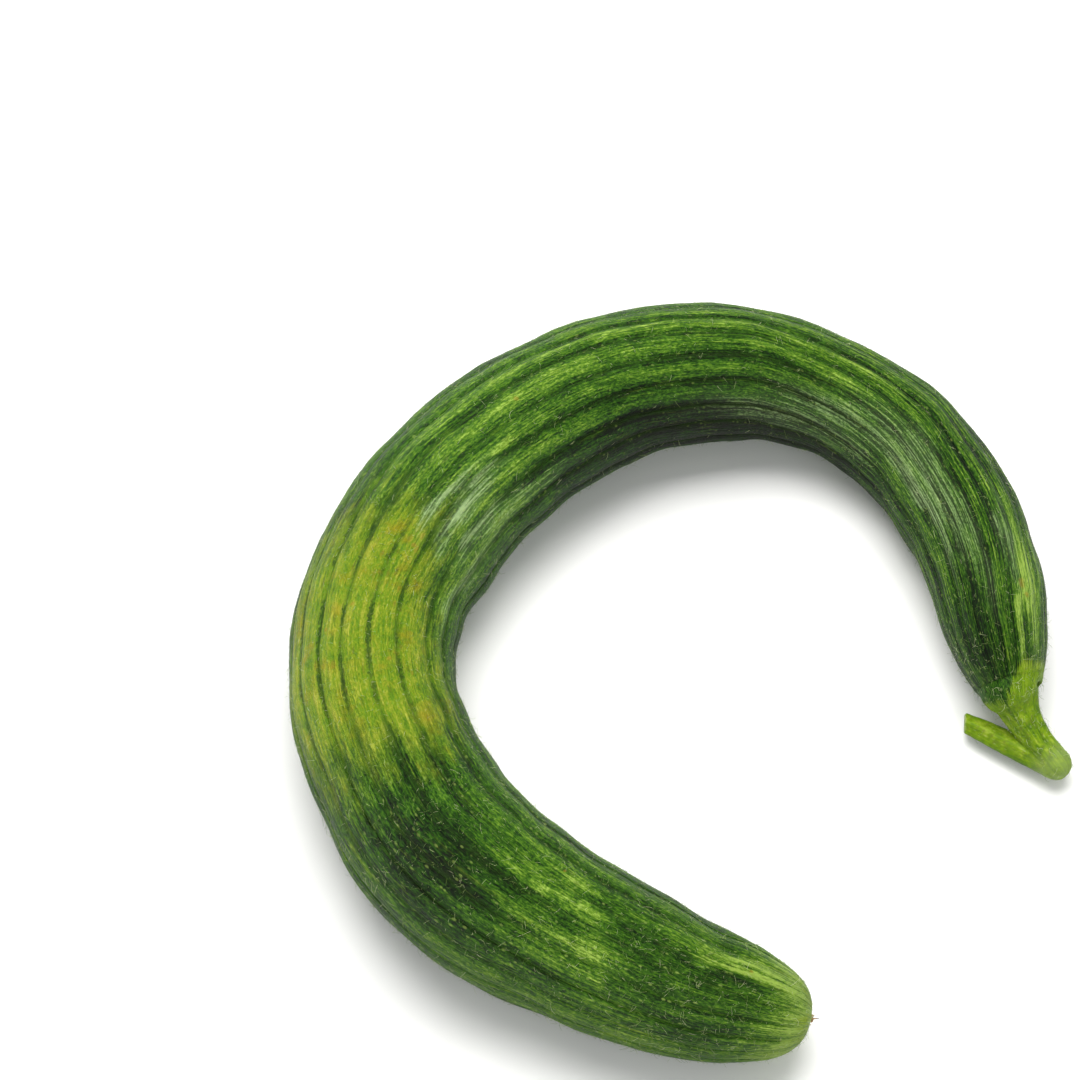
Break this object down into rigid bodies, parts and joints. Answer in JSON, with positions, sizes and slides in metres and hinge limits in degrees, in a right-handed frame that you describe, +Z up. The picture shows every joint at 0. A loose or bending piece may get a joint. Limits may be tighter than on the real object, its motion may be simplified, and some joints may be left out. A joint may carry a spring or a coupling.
{
  "type": "armenian cucumber",
  "caption": "Long ribbed cucumber grown into an open hook, with a folded cut stalk at its narrow neck and dried flower remains at its blunt far tip. A fresh food item.",
  "frame": {"origin": "on the surface it lies on, under the middle of the bounding box", "axes": "+Z up; +Y from the flower-end side of the hook towards the crown of its bend; +X from the outer left side towards the stalk"},
  "size_m": [0.2013, 0.2088, 0.0466],
  "materials": {
    "fruit_skin": "half matt fruit skin, dark green with lighter flecks, a yellow patch and fine pale fuzz",
    "green_stalk": "yellow-green fleshy stalk, hairy near the fruit and smooth near the cut",
    "dried_flower": "dry, papery and brown"
  },
  "bodies": {
    "root": {"fruit": "fruit_skin", "stalk": "green_stalk", "flower_remains": "dried_flower"}
  },
  "joints": []
}
